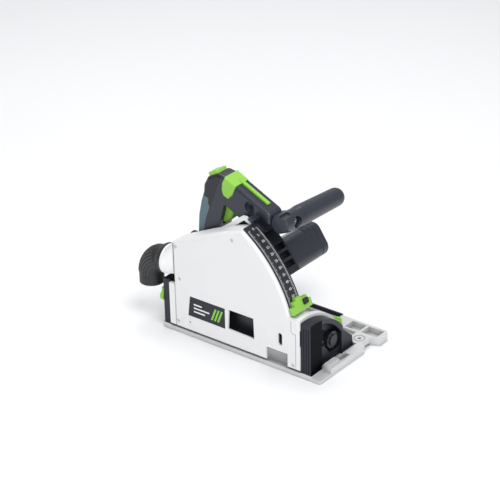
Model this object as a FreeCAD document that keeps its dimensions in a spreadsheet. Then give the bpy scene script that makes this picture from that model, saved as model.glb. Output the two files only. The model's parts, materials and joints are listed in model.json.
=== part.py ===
import FreeCAD, Part
import math
import os
import Sketcher
from FreeCAD import Placement, Rotation, Vector

# Track-guided plunge saw with a 160 mm blade.
# Frame: +X is the cutting direction, +Y points to the motor side, +Z is up.
# The sole lies in Z = 0, the blade turns in Y = 0, and X = 0 is under the arbor at full depth.
# Every piece is drawn at rest: blade up, bevel at 0 degrees, knobs and buttons released.

DIMENSIONS = {
    # base casting
    "base_rear": -144, "base_front": 134, "base_right": -14, "base_left": 144,
    "lobe_front": 140, "sole_skin": 3, "deck_top": 7, "pad_top": 8, "rim_top": 12,
    "slot_rear": -121, "slot_front": 99, "slot_right": -8, "slot_left": 14.5,
    "head_rear": -30, "head_front": 57, "head_left": 51,
    "groove_right": 97, "groove_left": 113, "groove_depth": 5,
    "guide_knob_front": 68, "guide_knob_rear": -100, "guide_knob_side": 118,
    # bevel brackets and flanges, centred on the bevel axis
    "bevel_side": -5, "front_plate": 102.3, "rear_plate": -127.2,
    "bracket_radius": 85, "rear_bracket_radius": 80, "flange_radius": 89.5, "rear_flange_radius": 77,
    "stud_radius": 62, "stud_angle": 35, "bevel_range": 47, "column_left": 10.6,
    # blade, arbor and plunge pivot
    "pivot_long": -105.9, "pivot_up": 30, "arbor_long": -14.1, "arbor_up": 83,
    "motor_long": -6.05, "motor_up": 107.72, "plunge_range": 32.7,
    "blade_radius": 80, "blade_plate": 0.7, "kerf_half": 0.95, "tooth_count": 48,
    "gear_teeth": 40, "pinion_teeth": 12, "gear_module": 1,
    # blade guard
    "cover_face": -16, "cover_seat": -11, "wall_right": 9, "wall_left": 12,
    "guard_floor": 12, "guard_front": 95, "guard_rear": -117, "guard_radius": 199, "port_root": -118,
    "band_back": 195, "band_front": 198,
    "port_side": -2, "port_up": 106, "port_radius": 22, "port_bore": 18, "port_end": -137,
    "hose_radius": 18, "hose_bore": 13.5, "hose_bend": 31, "hose_end": 60,
    # plunge unit
    "case_right": 13, "case_split": 21, "case_left": 42,
    "motor_root_radius": 29, "motor_half": 25.5, "motor_corner": 14, "motor_tilt": 34, "motor_length": 150,
    "handle_right": 18, "handle_middle": 33, "handle_left": 48,
    "aux_long": 44, "aux_up": 202, "aux_radius": 14, "aux_tip": 159, "aux_droop": 3.2, "aux_screw_side": 42,
    "stop_low": 17.6, "stop_top": 23.4,
}

doc = FreeCAD.newDocument("plunge_saw")
sheet = doc.addObject("Spreadsheet::Sheet", "Sizes")
for line, (alias, amount) in enumerate(DIMENSIONS.items(), start=1):
    sheet.set(f"A{line}", alias)
    sheet.set(f"B{line}", str(amount))
    sheet.setAlias(f"B{line}", alias)
doc.recompute()

PIECES = {}
TURN_TO = {"x": Rotation(Vector(0, 1, 0), 90), "y": Rotation(Vector(1, 0, 0), -90), "z": Rotation()}
SKETCH_TURN = {"XY": Rotation(), "XZ": Rotation(Vector(1, 0, 0), 90), "YZ": Rotation(Vector(1, 1, 1), 120)}
PLANE_AXIS = {"XY": "z", "XZ": "y", "YZ": "x"}
UNIT = {"x": Vector(1, 0, 0), "y": Vector(0, 1, 0), "z": Vector(0, 0, 1)}


# ---------------------------------------------------------------- drawing helpers

def size(alias):
    """Value of one spreadsheet cell."""
    return float(sheet.get(alias))


def number(term):
    """Value of a number, an alias, or a spaced sum such as 'guard_front - 3'."""
    if not isinstance(term, str):
        return term
    total = 0.0
    sign = 1
    for word in term.split():
        if word in "+-":
            sign = 1 if word == "+" else -1
        else:
            total += sign * (size(word) if word in DIMENSIONS else float(word))
    return total


def formula(term):
    """The same term as a document expression that reads the spreadsheet."""
    words = ["Sizes." + word if word in DIMENSIONS else word for word in str(term).split()]
    return " ".join(words)


def bind(item, prop, term):
    """Bind a property to a spreadsheet term, or set a plain number."""
    item.setExpression(prop, formula(term))


def place(item, x, y, z):
    for axis, term in zip("xyz", (x, y, z)):
        bind(item, f"Placement.Base.{axis}", term)


def slab(name, x, y, z):
    """Box between two limits on each axis."""
    box = doc.addObject("Part::Box", name)
    for prop, (low, high) in zip(("Length", "Width", "Height"), (x, y, z)):
        box.setExpression(prop, f"({formula(high)}) - ({formula(low)})")
    place(box, x[0], y[0], z[0])
    return box


def rod(name, along, centre, span, radius):
    """Cylinder along one axis; centre holds the other two coordinates in X, Y, Z order."""
    bar = doc.addObject("Part::Cylinder", name)
    bar.Placement = Placement(Vector(), TURN_TO[along])
    bind(bar, "Radius", radius)
    bar.setExpression("Height", f"({formula(span[1])}) - ({formula(span[0])})")
    others = iter(centre)
    place(bar, *[span[0] if axis == along else next(others) for axis in "xyz"])
    return bar


def cone(name, along, centre, span, start_radius, end_radius):
    taper = doc.addObject("Part::Cone", name)
    taper.Placement = Placement(Vector(), TURN_TO[along])
    bind(taper, "Radius1", start_radius)
    bind(taper, "Radius2", end_radius)
    taper.setExpression("Height", f"({formula(span[1])}) - ({formula(span[0])})")
    others = iter(centre)
    place(taper, *[span[0] if axis == along else next(others) for axis in "xyz"])
    return taper


def outline(name, plane, points):
    """Closed sketch of straight lines; corners given by name are held by bound constraints."""
    sketch = doc.addObject("Sketcher::SketchObject", name)
    sketch.Placement = Placement(Vector(), SKETCH_TURN[plane])
    corners = [Vector(number(across), number(up), 0) for across, up in points]
    lines = [Part.LineSegment(here, there) for here, there in zip(corners, corners[1:] + corners[:1])]
    sketch.addGeometry(lines, False)
    count = len(lines)
    links = [Sketcher.Constraint("Coincident", i, 2, (i + 1) % count, 1) for i in range(count)]
    sketch.addConstraint(links)
    for index, (across, up) in enumerate(points):
        for kind, term in (("DistanceX", across), ("DistanceY", up)):
            if isinstance(term, str):
                rule = sketch.addConstraint(Sketcher.Constraint(kind, -1, 1, index, 1, number(term)))
                sketch.setExpression(f"Constraints[{rule}]", formula(term))
    return sketch


def prism(name, plane, points, span):
    """Outline pushed along the third axis between two limits."""
    axis = PLANE_AXIS[plane]
    sketch = outline(name + "_outline", plane, points)
    bind(sketch, f"Placement.Base.{axis}", span[0])
    block = doc.addObject("Part::Extrusion", name)
    block.Base = sketch
    block.DirMode = "Custom"
    block.Dir = UNIT[axis]
    block.setExpression("LengthFwd", f"({formula(span[1])}) - ({formula(span[0])})")
    block.Solid = True
    return block


def turned(name, profile, along, centre):
    """Solid of revolution: profile pairs are (distance along the axis, radius)."""
    sketch = outline(name + "_profile", "XY", [(radius, step) for step, radius in profile])
    shape = doc.addObject("Part::Revolution", name)
    shape.Source = sketch
    shape.Axis = Vector(0, 1, 0)
    shape.Angle = 360
    shape.Solid = True
    spin = {"x": Rotation(Vector(0, 0, 1), -90), "y": Rotation(), "z": Rotation(Vector(1, 0, 0), 90)}
    shape.Placement = Placement(Vector(), spin[along])
    others = iter(centre)
    place(shape, *[0 if axis == along else next(others) for axis in "xyz"])
    return shape


def fuse(name, *shapes):
    joined = doc.addObject("Part::MultiFuse", name)
    joined.Shapes = list(shapes)
    joined.Refine = True
    return joined


def group(name, *shapes):
    """Several separate solids kept as one node."""
    bundle = doc.addObject("Part::Compound", name)
    bundle.Links = list(shapes)
    return bundle


def cut(name, base, *tools):
    result = doc.addObject("Part::Cut", name)
    result.Base = base
    result.Tool = tools[0] if len(tools) == 1 else fuse(name + "_tools", *tools)
    result.Refine = True
    return result


def common(name, *shapes):
    shared = doc.addObject("Part::MultiCommon", name)
    shared.Shapes = list(shapes)
    return shared


def tube(name, along, centre, span, inner, outer):
    start, end = span
    bore = rod(name + "_bore", along, centre, (f"{start} - 1", f"{end} + 1"), inner)
    return cut(name, rod(name + "_outer", along, centre, span, outer), bore)


def rounded(name, base, radius, wanted):
    """Fillet every edge of base that the test picks."""
    doc.recompute()
    numbers = [i for i, edge in enumerate(base.Shape.Edges, start=1) if wanted(edge)]
    blend = doc.addObject("Part::Fillet", name)
    blend.Base = base
    blend.Edges = [(i, radius, radius) for i in numbers]
    return blend


def on_plane(axis, level):
    """Test for edges lying in a plane across one axis."""
    def test(edge):
        box = edge.BoundBox
        low = getattr(box, axis.upper() + "Min")
        high = getattr(box, axis.upper() + "Max")
        return abs(low - level) < 0.01 and abs(high - level) < 0.01
    return test


def upright(edge):
    """Test for straight vertical edges."""
    box = edge.BoundBox
    return box.ZLength > 1 and box.XLength < 0.01 and box.YLength < 0.01


def along_side(edge):
    """Test for straight edges running across the saw."""
    box = edge.BoundBox
    return box.YLength > 1 and box.XLength < 0.01 and box.ZLength < 0.01


def wedge(name, plane, centre, reach, angles, span):
    """Triangle-like sector from a centre between two angles, in degrees."""
    start, end = angles
    steps = 4
    rim = [start + (end - start) * i / steps for i in range(steps + 1)]
    across, up = number(centre[0]), number(centre[1])
    points = [(across, up)]
    points += [(across + reach * math.cos(math.radians(a)), up + reach * math.sin(math.radians(a))) for a in rim]
    return prism(name, plane, points, span)


def solid_feature(name, shape):
    feature = doc.addObject("Part::Feature", name)
    feature.Shape = shape
    feature.Placement = Placement()
    return feature


def piece(node, item):
    """Name a finished sub-part; its label is also its file name."""
    item.Label = node
    PIECES[node] = item


PIVOT = ("pivot_long", "pivot_up")
ARBOR = ("arbor_long", "arbor_up")
MOTOR = ("motor_long", "motor_up")
BEVEL = ("bevel_side", 0)


# ---------------------------------------------------------------- base

def base_plate():
    corner = 4
    blank = prism("base_blank", "XY", [
        ("base_rear", "base_right"), ("base_front", "base_right"), ("base_front", 91), (128, 95),
        (128, 115), ("base_front", 118), ("lobe_front", 121), ("lobe_front", "base_left - 5"),
        ("lobe_front - 5", "base_left"), ("base_rear", "base_left")], (0, "rim_top"))
    blank = rounded("base_corners", blank, corner, lambda edge: upright(edge) and edge.BoundBox.YMin < 0)
    nose = slab("front_block", (121, 130), (12, 36), (0, "rim_top + 4"))
    left_strip = slab("left_strip_room", (-150, 58), ("groove_left + 3", 150), ("deck_top", 20))
    deck = slab("deck_room", ("rear_plate + 0.2", "front_plate"), (-20, "groove_left + 3"), ("deck_top", 20))
    front_pad = slab("front_pad_room", (101, 121), (-20, 90), ("pad_top", 20))
    rear_pad = slab("rear_pad_room", (-150, "rear_plate + 1"), (-20, 90), ("pad_top", 20))
    front_step = slab("front_corner_room", (120, 140), (-20, 12), (5, 20))
    slot = slab("blade_slot", ("slot_rear", "slot_front"), ("slot_right", "slot_left"), (-1, 20))
    head_room = slab("head_room", ("head_rear", "head_front"), (14, "head_left"), (-1, 20))
    groove = slab("rail_groove", (-150, 145), ("groove_right", "groove_left"), (-1, "groove_depth"))
    lip_pocket = slab("lip_pocket", (122.5, 131), (39.5, 60), ("deck_top - 2", 20))
    rooms = [left_strip, deck, front_pad, rear_pad, front_step, slot, head_room, groove, lip_pocket]
    deck_cells = [(-118, -80, 20, 54), (-76, -35, 20, 54), (-118, -80, 58, 92), (-76, -35, 58, 92),
                  (-31, 11, 58, 92), (15, 57, 58, 92), (62, 96, 20, 54), (62, 96, 58, 92)]
    left_cells = [(-140, -112), (-88, -50), (-46, -4), (0, 54)]
    lobe_cells = [(80, 104), (108, 134)]
    for index, (rear, front, right, left) in enumerate(deck_cells):
        rooms.append(slab(f"deck_cell_{index}", (rear, front), (right, left), ("sole_skin", 20)))
    for index, (rear, front) in enumerate(left_cells):
        rooms.append(slab(f"left_cell_{index}", (rear, front), (118, 140), ("sole_skin", 20)))
    for index, (rear, front) in enumerate(lobe_cells):
        rooms.append(slab(f"lobe_cell_{index}", (rear, front), (120, 139.5), ("sole_skin", 20)))
    for index, spot in enumerate(("guide_knob_front", "guide_knob_rear")):
        side = "guide_knob_side"
        rooms.append(rod(f"cam_room_{index}", "z", (spot, side), (-1, "groove_depth"), 6.4))
        rooms.append(rod(f"cam_bore_{index}", "z", (spot, side), (1, 20), 4.05))
    rooms.append(rod("fence_screw_hole", "z", (116, 104), (9, 20), 2.6))
    rooms.append(tube("fence_boss_ring", "z", (116, 104), (11, 20), 7, 8.5))
    for index, (long, side) in enumerate(bracket_screw_spots()):
        rooms.append(rod(f"screw_room_{index}", "z", (long, side), (-1, 4.2), 5))
        rooms.append(rod(f"screw_hole_{index}", "z", (long, side), (3, 20), 2.6))
    piece("base_plate", cut("base_plate", fuse("base_whole", blank, nose), *rooms))


def bracket_screw_spots():
    return [(110, 14), (110, 52), (-133.5, 14), (-133.5, 52)]


def bracket_screws():
    screws = []
    for index, (long, side) in enumerate(bracket_screw_spots()):
        head = rod(f"bracket_head_{index}", "z", (long, side), (0.8, 4.1), 4.8)
        shank = rod(f"bracket_shank_{index}", "z", (long, side), (4, 17), 2.5)
        socket = rod(f"bracket_socket_{index}", "z", (long, side), (0, 3), 2.2)
        screws.append(cut(f"bracket_screw_{index}", fuse(f"bracket_screw_blank_{index}", head, shank), socket))
    piece("bracket_screws", group("bracket_screws", *screws))


def side_strip():
    piece("base_side_strip", slab("base_side_strip", (-136, 58), ("base_left", "base_left + 2.5"), (0.8, "rim_top + 1")))


def guide_knob(node, spot):
    """Turning cam that takes up the play against the guide rail's rib."""
    side = "guide_knob_side"
    top = rod(node + "_cap", "z", (spot, side), ("rim_top + 0.1", "rim_top + 9"), 6.5)
    if number(spot) < 0:
        top = rod(node + "_cap", "z", (spot, side), ("deck_top + 0.1", "deck_top + 9"), 6.5)
    shaft = rod(node + "_shaft", "z", (spot, side), (2, "rim_top"), 4)
    if number(spot) < 0:
        shaft = rod(node + "_shaft", "z", (spot, side), (2, "deck_top + 1"), 4)
    cam = rod(node + "_cam", "z", (spot, "guide_knob_side - 0.8"), (0.8, "groove_depth - 0.3"), 4.7)
    slot_low = 18 if number(spot) > 0 else 13
    slot = slab(node + "_slot", (f"{spot} - 5", f"{spot} + 5"), ("guide_knob_side - 0.8", "guide_knob_side + 0.8"),
                (slot_low, 30))
    piece(node, cut(node, fuse(node + "_blank", top, shaft, cam), slot))


def stud_point(turn=0):
    angle = math.radians(size("stud_angle") + turn)
    return (size("bevel_side") + size("stud_radius") * math.cos(angle), size("stud_radius") * math.sin(angle))


def arc_slot(name, span, half_width):
    """Curved slot round the bevel axis for the clamp stud."""
    inner = f"stud_radius - {half_width}"
    outer = f"stud_radius + {half_width}"
    first = size("stud_angle") - 1
    last = size("stud_angle") + size("bevel_range")
    band = tube(name + "_band", "x", BEVEL, span, inner, outer)
    sector = wedge(name + "_sector", "YZ", BEVEL, 90, (first, last), span)
    ends = [rod(f"{name}_end_{i}", "x", stud_point(turn), span, half_width)
            for i, turn in enumerate((-1, size("bevel_range")))]
    return fuse(name, common(name + "_arc", band, sector), *ends)


def front_bevel_bracket():
    """Quadrant plate with an arched rim, a wide smooth column on its right and a wing on its left."""
    reach = (-14, 62.5)
    back, face = "front_plate", "front_plate + 3.7"
    skin = ("front_plate + 12.7", "front_plate + 17.2")
    low = "pad_top"

    def sector(name, depth, side, top=90):
        disc = rod(name + "_disc", "x", BEVEL, depth, "bracket_radius")
        return common(name, disc, slab(name + "_box", depth, side, (low, top)))

    plate = sector("fb_plate", (back, face), reach)
    rim_ring = tube("fb_rim_ring", "x", BEVEL, (face, "front_plate + 14.7"), "bracket_radius - 7", "bracket_radius")
    rim = common("fb_rim", rim_ring, slab("fb_rim_box", (face, "front_plate + 14.7"), reach, (low, 90)))
    flank = sector("fb_flank", (face, skin[0]), (-14, -10.5))
    column = sector("fb_column", skin, (-14, "column_left"))
    web = sector("fb_web", (face, "front_plate + 14.7"), (60, 62.5))
    hub_disc = rod("fb_hub_disc", "x", BEVEL, (face, "front_plate + 11.7"), 45)
    hub = common("fb_hub", hub_disc, slab("fb_hub_box", (face, "front_plate + 11.7"), (-12, 42), (low, 50)))
    foot = slab("fb_foot", (face, "front_plate + 11.7"), (-12, 62.5), (low, 20))
    root = slab("fb_column_root", (face, skin[0]), (-12, "column_left"), (low, 13))
    wing = prism("fb_wing", "YZ", [(60.5, 8), (89, 8), (85.9, 25.5), (62.5, 46.1), (60.5, 46.1)], (108, 116))
    ribs = [slab(f"fb_rib_{i}", (106.5 + 4 * i, 108 + 4 * i), (-15, -13), (low, 78)) for i in range(3)]
    holes = [rod(f"fb_hole_{i}", "z", (110, side), (0, 17.2), 2.55) for i, side in enumerate((14, 52))]
    body = fuse("fb_body", plate, rim, flank, column, web, hub, foot, root, wing)
    slot = arc_slot("fb_slot", ("front_plate - 1", "front_plate + 5"), 4.3)
    piece("front_bevel_bracket", cut("front_bevel_bracket", body, slot, *ribs, *holes))


def rear_bevel_bracket():
    reach = (-14, 62.5)
    face, back = "rear_plate - 3.7", "rear_plate"
    low = "pad_top"
    radius = "rear_bracket_radius"
    disc = rod("rb_disc", "x", BEVEL, (face, back), radius)
    plate = common("rb_plate", disc, slab("rb_plate_box", (face, back), reach, (low, 90)))
    rim_ring = tube("rb_rim_ring", "x", BEVEL, ("rear_plate - 11", face), "rear_bracket_radius - 4", radius)
    rim = common("rb_rim", rim_ring, slab("rb_rim_box", ("rear_plate - 11", face), reach, (low, 90)))
    column_disc = rod("rb_column_disc", "x", BEVEL, ("rear_plate - 12", face), radius)
    column = common("rb_column", column_disc, slab("rb_column_box", ("rear_plate - 12", face), (-14, -10.5), (low, 90)))
    hub_disc = rod("rb_hub_disc", "x", BEVEL, ("rear_plate - 10", face), 45)
    hub = common("rb_hub", hub_disc, slab("rb_hub_box", ("rear_plate - 10", face), (-12, 42), (low, 50)))
    foot = slab("rb_foot", ("rear_plate - 10", face), (-12, 62.5), (low, 20))
    holes = [rod(f"rb_hole_{i}", "z", (-133.5, side), (0, 17.2), 2.55) for i, side in enumerate((14, 52))]
    pin_hole = rod("rb_pin_hole", "x", (-12.2, 46), ("rear_plate - 13", "rear_plate - 4"), 1.25)
    body = fuse("rb_body", plate, rim, column, hub, foot)
    slot = arc_slot("rb_slot", ("rear_plate - 5", "rear_plate + 1"), 4.3)
    piece("rear_bevel_bracket", cut("rear_bevel_bracket", body, slot, pin_hole, *holes))


def undercut_lever():
    """Small lever that frees the -1 degree and 47 degree end stops."""
    back = "rear_plate - 12.1"
    pin = rod("undercut_pin", "x", (-12.2, 46), ("rear_plate - 12.2", "rear_plate - 6"), 1.2)
    disc = rod("undercut_disc", "x", (-9.5, 49), ("rear_plate - 17", back), 7.5)
    paddle = slab("undercut_paddle", ("rear_plate - 17", back), (-12.5, -4.5), (50, 62))
    eye = rod("undercut_eye", "x", (-8.5, 51), ("rear_plate - 18", "rear_plate - 15"), 3.6)
    piece("undercut_lever", cut("undercut_lever", fuse("undercut_blank", pin, disc, paddle), eye))


# ---------------------------------------------------------------- tilting guard

def guard_side(name, span):
    """Side silhouette of the guard: sloped back, arched front, square foot in front."""
    hull = prism(name + "_hull", "XZ", [
        ("guard_rear", "guard_floor"), ("guard_front", "guard_floor"), ("guard_front", 200), (4, 194),
        (-27, 184.6), (-67.5, 166.8), ("port_root", 143.2), ("port_root", 91), (-117, 84), ("guard_rear", 76)], span)
    arch = rod(name + "_arch", "y", PIVOT, span, "guard_radius")
    foot = prism(name + "_foot", "XZ", [
        (40, "guard_floor"), ("guard_front", "guard_floor"), ("guard_front", 87), (83, 89), (80, 95.5), (40, 95.5)], span)
    return fuse(name, common(name + "_arched", hull, arch), foot)


def guard_room(name, span):
    """Hollow inside the guard's walls."""
    hull = prism(name + "_hull", "XZ", [
        (-113.5, 10), (91.5, 10), (91.5, 200), (0, 188), (-26, 181), (-66.5, 163.2), (-115, 140.6),
        (-115, 90), (-113.5, 73)], span)
    arch = rod(name + "_arch", "y", PIVOT, span, "band_back - 4")
    foot = prism(name + "_foot", "XZ", [(30, 10), (91.5, 10), (91.5, 84), (81, 86), (77, 92.5), (30, 92.5)], span)
    return fuse(name, common(name + "_arched", hull, arch), foot)


def port_loft(name, start, end, inset):
    """Dust channel: a rounded slot flush with the guard's walls blending into the round port."""
    half_wide = (size("wall_left") - size("cover_face")) / 2 - inset
    middle = (size("wall_left") + size("cover_face")) / 2
    side, up = size("port_side"), size("port_up")
    first = rounded_loop(start, middle, 117, half_wide, 26 - inset, 6)
    second = Part.Wire(Part.makeCircle(size("port_radius") - inset, Vector(end, side, up), Vector(-1, 0, 0)))
    return solid_feature(name, Part.makeLoft([first, second], True, False))


def rounded_loop(level, side, up, half_wide, half_tall, corner):
    """Closed rounded rectangle in a plane across X."""
    plain = Part.makePolygon([
        Vector(level, side - half_wide, up - half_tall), Vector(level, side + half_wide, up - half_tall),
        Vector(level, side + half_wide, up + half_tall), Vector(level, side - half_wide, up + half_tall),
        Vector(level, side - half_wide, up - half_tall)])
    prism_shape = Part.Face(plain).extrude(Vector(1, 0, 0))
    edges = [e for e in prism_shape.Edges if e.BoundBox.XLength > 0.5]
    soft = prism_shape.makeFillet(corner, edges)
    face = min(soft.Faces, key=lambda f: f.CenterOfMass.x)
    return face.OuterWire


def guard_housing():
    shell = cut("gh_shell", guard_side("gh_side", ("cover_seat", "wall_left")),
                guard_room("gh_room", ("cover_seat - 1", "wall_right")))
    front = rod("gh_front_disc", "x", BEVEL, ("guard_front", "front_plate - 0.3"), "flange_radius")
    front = common("gh_front", front, slab("gh_front_box", ("guard_front", "front_plate - 0.3"), ("cover_face", 62),
                                           ("guard_floor", 95)))
    rear = rod("gh_rear_disc", "x", BEVEL, ("rear_plate + 0.3", "guard_rear"), "rear_flange_radius")
    rear = common("gh_rear", rear, slab("gh_rear_box", ("rear_plate + 0.3", "guard_rear"), ("cover_face", 62),
                                        ("guard_floor", 95)))
    port = port_loft("gh_port", size("port_root"), size("port_end") + 3, 0)
    rim = rod("gh_port_rim", "x", ("port_side", "port_up"), ("port_end", "port_end + 3"), "port_radius")
    hub = rod("gh_hub", "y", PIVOT, ("cover_seat", "wall_left"), 10)
    body = fuse("gh_body", shell, front, rear, port, rim, hub, *guard_strap(), *cover_bosses())
    bore = rod("gh_port_bore", "x", ("port_side", "port_up"), ("port_end - 1", "port_end + 7"), "port_bore")
    throat = port_loft("gh_throat", -114, size("port_end") + 7, 4)
    pin_bore = rod("gh_pin_bore", "y", PIVOT, (-20, 20), 6.02)
    sweep = tube("gh_sweep_ring", "y", PIVOT, ("wall_right - 1", "wall_left + 1"), 96, 116)
    arbor_way = common("gh_arbor_way", sweep, wedge("gh_way_sector", "XZ", PIVOT, 260, (-3.5, 31.5),
                                                    ("wall_right - 1", "wall_left + 1")))
    way_top = rod("gh_way_top", "y", ARBOR, ("wall_right - 1", "wall_left + 1"), 12)
    way_low = rod("gh_way_low", "y", (0, 25), ("wall_right - 1", "wall_left + 1"), 10.5)
    studs = [rod(f"gh_stud_{i}", "x", stud_point(), span, 4.02)
             for i, span in enumerate(((90, 110), (-135, -110)))]
    screws = [rod(f"gh_screw_{i}", "y", spot, ("cover_seat - 1", "cover_seat + 9"), 1.55)
              for i, spot in enumerate(cover_screw_spots())]
    piece("guard_housing", cut("guard_housing", body, bore, throat, pin_bore, arbor_way, way_top, way_low,
                               *studs, *screws))


def guard_strap():
    """Slim strap above the guard's back and the lip that carries on along the arch."""
    wall = ("wall_right", "wall_left")
    strap = prism("gh_strap", "XZ", [(-56, 168), (-51, 174), (-12, 203), (-6, 203.6), (3, 198.6), (3, 192),
                                     (-9, 197.2), (-44, 171)], wall)
    edge = ("wall_left", "wall_left + 2.5")
    ring = tube("gh_lip_ring", "y", PIVOT, edge, 192, "band_front")
    lip = common("gh_lip", ring, wedge("gh_lip_sector", "XZ", PIVOT, 260, (41.5, 57.5), edge))
    return strap, lip


def cover_bosses():
    """Screw bosses standing inside the housing behind the cover."""
    reach = ("cover_seat", "cover_seat + 8")
    outline_block = guard_side("gh_boss_limit", reach)
    return [common(f"gh_boss_{i}", rod(f"gh_boss_rod_{i}", "y", spot, reach, 3.6), outline_block)
            for i, spot in enumerate(cover_screw_spots())]


def cover_screw_spots():
    return [(-112.5, 136.7), (-11.3, 176.5), (-107, 88), (-112.2, 20), (90, 16.5)]


def guard_cover():
    blank = guard_side("gc_side", ("cover_face", "cover_seat"))
    soft = rounded("gc_soft", blank, 4, lambda edge: on_plane("y", size("cover_face"))(edge)
                   and edge.BoundBox.ZMax > 100)
    soft = rounded("gc_front_edge", soft, 1.2, lambda edge: on_plane("y", size("cover_face"))(edge)
                   and on_plane("x", size("guard_front"))(edge))
    room = guard_room("gc_room", ("cover_face + 2.6", "cover_seat + 1"))
    window = prism("gc_window", "XZ", [(-22, 36), (-20, 67), (23, 67), (24, 35)], (-20, -5))
    guard_notch = slab("gc_notch", (45, 81), (-20, -5), (5, 31))
    slot = fuse("gc_slot", slab("gc_slot_box", (65.1, 72.1), (-20, -5), (44, 56)),
                rod("gc_slot_low", "y", (68.6, 44), (-20, -5), 3.5), rod("gc_slot_high", "y", (68.6, 56), (-20, -5), 3.5))
    peep = rod("gc_peep", "y", (-90.5, 24.2), (-20, -5), 1.6)
    label = prism("gc_label", "XZ", label_points(0.1), ("cover_face - 1", "cover_face + 0.5"))
    bosses = [rod(f"gc_boss_{i}", "y", spot, ("cover_face + 1", "cover_seat"), 3.6)
              for i, spot in enumerate(cover_screw_spots())]
    holes = [rod(f"gc_hole_{i}", "y", spot, (-20, -5), 1.6) for i, spot in enumerate(cover_screw_spots())]
    seats = [rod(f"gc_seat_{i}", "y", spot, (-20, "cover_face + 2"), 2.9) for i, spot in enumerate(cover_screw_spots())]
    rim = guard_side("gc_rim_side", ("cover_face + 1", "cover_seat"))
    pads = [common(f"gc_pad_{i}", boss, rim) for i, boss in enumerate(bosses)]
    shell = cut("gc_shell", soft, room)
    joined = fuse("gc_joined", shell, *pads)
    pivot_dimple = rod("gc_pivot_room", "y", PIVOT, ("cover_face + 2.4", "cover_seat + 1"), 7)
    piece("guard_cover", cut("guard_cover", joined, window, guard_notch, slot, peep, label, pivot_dimple, *holes, *seats))


def label_points(gap):
    return [(-93 - gap, 35 - gap), (-27 + gap, 34.7 - gap), (-27 + gap, 66 + gap), (-89 - gap, 66 + gap)]


def label_plate():
    piece("label_plate", prism("label_plate", "XZ", label_points(0), ("cover_face - 0.2", "cover_face + 0.5")))


def cover_screws():
    screws = []
    for index, spot in enumerate(cover_screw_spots()):
        head = rod(f"cs_head_{index}", "y", spot, ("cover_face + 0.4", "cover_face + 2"), 2.8)
        shank = rod(f"cs_shank_{index}", "y", spot, ("cover_face + 1.9", "cover_seat + 8"), 1.5)
        socket = rod(f"cs_socket_{index}", "y", spot, ("cover_face", "cover_face + 1.4"), 1.2)
        screws.append(cut(f"cs_{index}", fuse(f"cs_blank_{index}", head, shank), socket))
    piece("cover_screws", group("cover_screws", *screws))


def depth_scale():
    span = ("cover_seat + 0.1", "wall_left")
    band = tube("ds_band", "y", PIVOT, span, "band_back + 4.02", "band_front + 4")
    sector = wedge("ds_sector", "XZ", PIVOT, 260, (19.6, 56.2), span)
    piece("depth_scale", common("depth_scale", band, sector))


def pivot_pin():
    shaft = rod("pp_shaft", "y", PIVOT, ("cover_face + 2.6", 38.5), 6)
    groove = tube("pp_groove", "y", PIVOT, (36.4, 37.6), 5, 7)
    piece("plunge_pivot_pin", cut("plunge_pivot_pin", shaft, groove))
    clip = tube("pivot_clip", "y", PIVOT, (36.5, 37.5), 5.05, 8.5)
    gap = slab("pivot_clip_gap", ("pivot_long - 12", "pivot_long"), (36, 38), ("pivot_up - 2", "pivot_up + 2"))
    piece("pivot_clip", cut("pivot_clip_cut", clip, gap))


def return_spring():
    """Torsion spring round the pivot pin that lifts the plunge unit."""
    coil_radius, wire_radius, pitch, height = 8.6, 0.7, 1.8, 5.4
    section = Part.Wire(Part.makeCircle(wire_radius, Vector(coil_radius, 0, 0), Vector(0, 1, 0)))
    path = Part.Wire(Part.makeHelix(pitch, height, coil_radius))
    spring = solid_feature("return_spring", path.makePipeShell([section], True, True))
    spring.Placement = Placement(Vector(), TURN_TO["y"])
    place(spring, *[PIVOT[0], "wall_left + 1", PIVOT[1]])
    piece("return_spring", spring)


def bevel_bolts():
    for node, head, shank in (("front_bevel_bolt", (90.6, 95), (94.9, 112.5)),
                              ("rear_bevel_bolt", (-117, -112.6), (-137.3, -116.9))):
        cap = rod(node + "_head", "x", stud_point(), head, 7)
        stud = rod(node + "_shank", "x", stud_point(), shank, 4)
        piece(node, fuse(node, cap, stud))


def bevel_knob(node, span, cap_end):
    """Fluted clamp knob turning on the stud."""
    blank = rod(node + "_blank", "x", stud_point(), span, 13)
    bore = rod(node + "_bore", "x", stud_point(), (span[0] - 1, span[1] + 1), 4.05)
    across, up = stud_point()
    flutes = []
    for index in range(10):
        angle = 2 * math.pi * index / 10
        centre = (across + 14.6 * math.cos(angle), up + 14.6 * math.sin(angle))
        flutes.append(rod(f"{node}_flute_{index}", "x", centre, (span[0] - 1, span[1] + 1), 2.6))
    ridge = rod(node + "_hub", "x", stud_point(), cap_end, 8)
    piece(node, cut(node, fuse(node + "_body", blank, ridge), bore, *flutes))


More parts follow.
